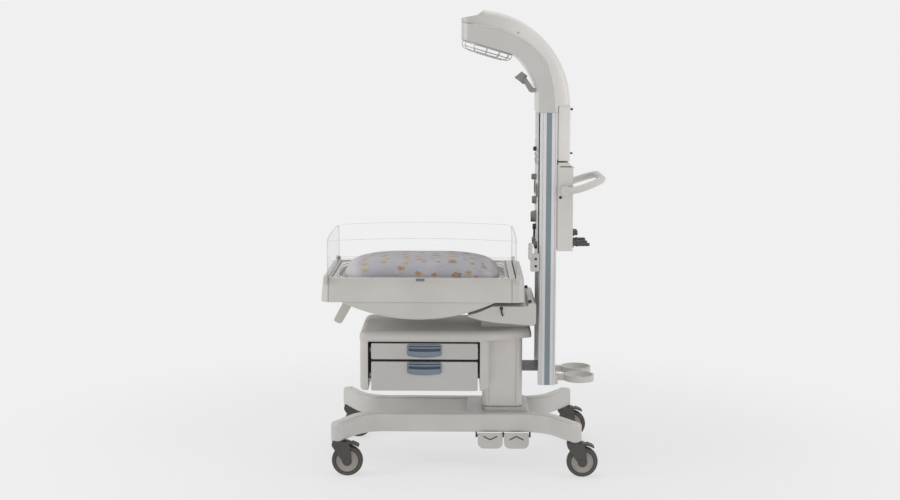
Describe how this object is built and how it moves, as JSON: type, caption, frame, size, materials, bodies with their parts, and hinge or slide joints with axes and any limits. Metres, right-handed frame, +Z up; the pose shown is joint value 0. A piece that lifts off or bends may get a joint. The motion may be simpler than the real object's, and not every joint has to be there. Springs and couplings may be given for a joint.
{
  "type": "infant radiant warmer",
  "caption": "Wheeled infant warmer: tilting bed with mattress and clear fold-down panels, drawers, height-adjusting column and a curved overhead heater mast.",
  "frame": {"origin": "on the floor under the centre of the overall box", "axes": "+Z up, +X towards the mast and push handle, +Y towards the far side"},
  "size_m": [1.143, 0.6628, 1.858],
  "materials": {
    "body_paint": "satin paint",
    "lift_metal": "anodised",
    "caster_dark": "moulded matte",
    "wheel_tyre": "matte",
    "pedal_plastic": "moulded matte",
    "dark_metal": "satin",
    "shell_plastic": "fine texture",
    "blue_trim": "satin",
    "mast_alloy": "anodised",
    "screen_glass": "gloss",
    "knob_grey": "matte",
    "bracket_white": "powder coat",
    "inlet_metal": "plated",
    "reflector_bright": "polished",
    "element_metal": "oxidised",
    "guard_wire": "gloss coat",
    "clear_panel": "clear gloss",
    "mattress_cloth": "printed cloth"
  },
  "bodies": {
    "base": {"base_leg_near": "body_paint", "base_leg_far": "body_paint", "base_crossmember": "body_paint", "lift_post": "lift_metal", "lift_motor": "lift_metal", "pedal_bracket": "dark_metal"},
    "column_stage": {"column_stage": "lift_metal"},
    "lift": {"column_sleeve": "body_paint", "top_cover": "shell_plastic", "cabinet_shell": "shell_plastic", "drawer_rails": "dark_metal", "mast_rail_near": "mast_alloy", "mast_rail_far": "mast_alloy", "rail_inserts": "blue_trim", "mast_back_panel": "lift_metal", "control_fascia": "shell_plastic", "display_screen": "screen_glass", "hose_bracket": "bracket_white", "mast_link": "dark_metal", "rear_housing_lower": "shell_plastic", "rear_housing_upper": "shell_plastic", "push_handle": "bracket_white", "gas_inlets": "inlet_metal", "cylinder_holder": "bracket_white", "hood_cover": "shell_plastic", "hood_shell": "shell_plastic", "heater_reflector": "reflector_bright", "heater_element": "element_metal", "heater_guard": "guard_wire", "bed_arm": "body_paint"},
    "bed": {"bed_tray": "shell_plastic", "bed_underpan": "shell_plastic", "mattress": "mattress_cloth", "panel_head": "clear_panel"},
    "panel_near": {"panel_near": "clear_panel"},
    "panel_far": {"panel_far": "clear_panel"},
    "panel_foot": {"panel_foot": "clear_panel"},
    "tilt_handle": {"tilt_handle": "shell_plastic"},
    "drawer_upper": {"drawer_upper": "shell_plastic", "pull_upper": "blue_trim"},
    "drawer_lower": {"drawer_lower": "shell_plastic", "pull_lower": "blue_trim"},
    "pedal_down": {"pedal_down": "pedal_plastic"},
    "pedal_up": {"pedal_up": "pedal_plastic"},
    "knob_oxygen": {"knob_oxygen": "knob_grey"},
    "knob_flow": {"knob_flow": "knob_grey"},
    "knob_suction": {"knob_suction": "knob_grey"},
    "exam_light": {"exam_light": "knob_grey"},
    "caster_fork_foot_near": {"caster_fork_foot_near": "caster_dark"},
    "caster_wheel_foot_near": {"caster_wheel_foot_near": "wheel_tyre"},
    "caster_brake_foot_near": {"caster_brake_foot_near": "caster_dark"},
    "caster_fork_foot_far": {"caster_fork_foot_far": "caster_dark"},
    "caster_wheel_foot_far": {"caster_wheel_foot_far": "wheel_tyre"},
    "caster_brake_foot_far": {"caster_brake_foot_far": "caster_dark"},
    "caster_fork_head_near": {"caster_fork_head_near": "caster_dark"},
    "caster_wheel_head_near": {"caster_wheel_head_near": "wheel_tyre"},
    "caster_brake_head_near": {"caster_brake_head_near": "caster_dark"},
    "caster_fork_head_far": {"caster_fork_head_far": "caster_dark"},
    "caster_wheel_head_far": {"caster_wheel_head_far": "wheel_tyre"},
    "caster_brake_head_far": {"caster_brake_head_far": "caster_dark"}
  },
  "joints": [
    {"name": "lift_slide", "type": "slide", "parent": "base", "child": "lift", "axis": [0, 0, 1], "range_m": [0, 0.3]},
    {"name": "stage_slide", "type": "slide", "parent": "base", "child": "column_stage", "axis": [0, 0, 1], "range_m": [0, 0.15]},
    {"name": "bed_tilt", "type": "hinge", "parent": "lift", "child": "bed", "pos_m": [0.16, 0, 0.675], "axis": [0, 1, 0], "range_deg": [-5, 10]},
    {"name": "panel_near_fold", "type": "hinge", "parent": "bed", "child": "panel_near", "pos_m": [-0.169, -0.283, 0.8005], "axis": [1, 0, 0], "range_deg": [0, 165]},
    {"name": "panel_far_fold", "type": "hinge", "parent": "bed", "child": "panel_far", "pos_m": [-0.169, 0.283, 0.8005], "axis": [-1, 0, 0], "range_deg": [0, 165]},
    {"name": "panel_foot_fold", "type": "hinge", "parent": "bed", "child": "panel_foot", "pos_m": [-0.545, 0, 0.8005], "axis": [0, -1, 0], "range_deg": [0, 95]},
    {"name": "tilt_release", "type": "hinge", "parent": "bed", "child": "tilt_handle", "pos_m": [-0.468, 0, 0.67], "axis": [0, 1, 0], "range_deg": [0, 14], "stiffness_Nm_per_rad": 3, "springref_deg": -8.59},
    {"name": "drawer_upper_slide", "type": "slide", "parent": "lift", "child": "drawer_upper", "axis": [0, -1, 0], "range_m": [0, 0.3]},
    {"name": "drawer_lower_slide", "type": "slide", "parent": "lift", "child": "drawer_lower", "axis": [0, -1, 0], "range_m": [0, 0.3]},
    {"name": "pedal_down_press", "type": "hinge", "parent": "base", "child": "pedal_down", "pos_m": [0.1085, -0.148, 0.125], "axis": [1, 0, 0], "range_deg": [0, 12], "stiffness_Nm_per_rad": 20, "springref_deg": -3.44},
    {"name": "pedal_up_press", "type": "hinge", "parent": "base", "child": "pedal_up", "pos_m": [0.2155, -0.148, 0.125], "axis": [1, 0, 0], "range_deg": [0, 12], "stiffness_Nm_per_rad": 20, "springref_deg": -3.44},
    {"name": "exam_light_tilt", "type": "hinge", "parent": "lift", "child": "exam_light", "pos_m": [0.273, 0, 1.536], "axis": [0, -1, 0], "range_deg": [0, 35]},
    {"name": "knob_oxygen_turn", "type": "hinge", "parent": "lift", "child": "knob_oxygen", "pos_m": [0.29, 0.015, 1.179], "axis": [-1, 0, 0], "range_deg": [0, 270]},
    {"name": "knob_flow_turn", "type": "hinge", "parent": "lift", "child": "knob_flow", "pos_m": [0.29, 0.015, 1.083], "axis": [-1, 0, 0], "range_deg": [0, 270]},
    {"name": "knob_suction_turn", "type": "hinge", "parent": "lift", "child": "knob_suction", "pos_m": [0.29, 0.015, 1.016], "axis": [-1, 0, 0], "range_deg": [0, 270]},
    {"name": "caster_swivel_foot_near", "type": "hinge", "parent": "base", "child": "caster_fork_foot_near", "pos_m": [-0.5005, -0.3, 0.16], "axis": [0, 0, 1], "continuous": true},
    {"name": "wheel_spin_foot_near", "type": "hinge", "parent": "caster_fork_foot_near", "child": "caster_wheel_foot_near", "pos_m": [-0.4655, -0.3, 0.0625], "axis": [0, 1, 0], "continuous": true},
    {"name": "brake_press_foot_near", "type": "hinge", "parent": "caster_fork_foot_near", "child": "caster_brake_foot_near", "pos_m": [-0.4685, -0.3, 0.136], "axis": [0, 1, 0], "range_deg": [0, 10]},
    {"name": "caster_swivel_foot_far", "type": "hinge", "parent": "base", "child": "caster_fork_foot_far", "pos_m": [-0.5005, 0.3, 0.16], "axis": [0, 0, 1], "continuous": true},
    {"name": "wheel_spin_foot_far", "type": "hinge", "parent": "caster_fork_foot_far", "child": "caster_wheel_foot_far", "pos_m": [-0.4655, 0.3, 0.0625], "axis": [0, 1, 0], "continuous": true},
    {"name": "brake_press_foot_far", "type": "hinge", "parent": "caster_fork_foot_far", "child": "caster_brake_foot_far", "pos_m": [-0.4685, 0.3, 0.136], "axis": [0, 1, 0], "range_deg": [0, 10]},
    {"name": "caster_swivel_head_near", "type": "hinge", "parent": "base", "child": "caster_fork_head_near", "pos_m": [0.4395, -0.3, 0.16], "axis": [0, 0, 1], "continuous": true},
    {"name": "wheel_spin_head_near", "type": "hinge", "parent": "caster_fork_head_near", "child": "caster_wheel_head_near", "pos_m": [0.4745, -0.3, 0.0625], "axis": [0, 1, 0], "continuous": true},
    {"name": "brake_press_head_near", "type": "hinge", "parent": "caster_fork_head_near", "child": "caster_brake_head_near", "pos_m": [0.4715, -0.3, 0.136], "axis": [0, 1, 0], "range_deg": [0, 10]},
    {"name": "caster_swivel_head_far", "type": "hinge", "parent": "base", "child": "caster_fork_head_far", "pos_m": [0.4395, 0.3, 0.16], "axis": [0, 0, 1], "continuous": true},
    {"name": "wheel_spin_head_far", "type": "hinge", "parent": "caster_fork_head_far", "child": "caster_wheel_head_far", "pos_m": [0.4745, 0.3, 0.0625], "axis": [0, 1, 0], "continuous": true},
    {"name": "brake_press_head_far", "type": "hinge", "parent": "caster_fork_head_far", "child": "caster_brake_head_far", "pos_m": [0.4715, 0.3, 0.136], "axis": [0, 1, 0], "range_deg": [0, 10]}
  ],
  "couplings": [
    {"joint": "stage_slide", "follows": "lift_slide", "ratio": 0.5}
  ]
}
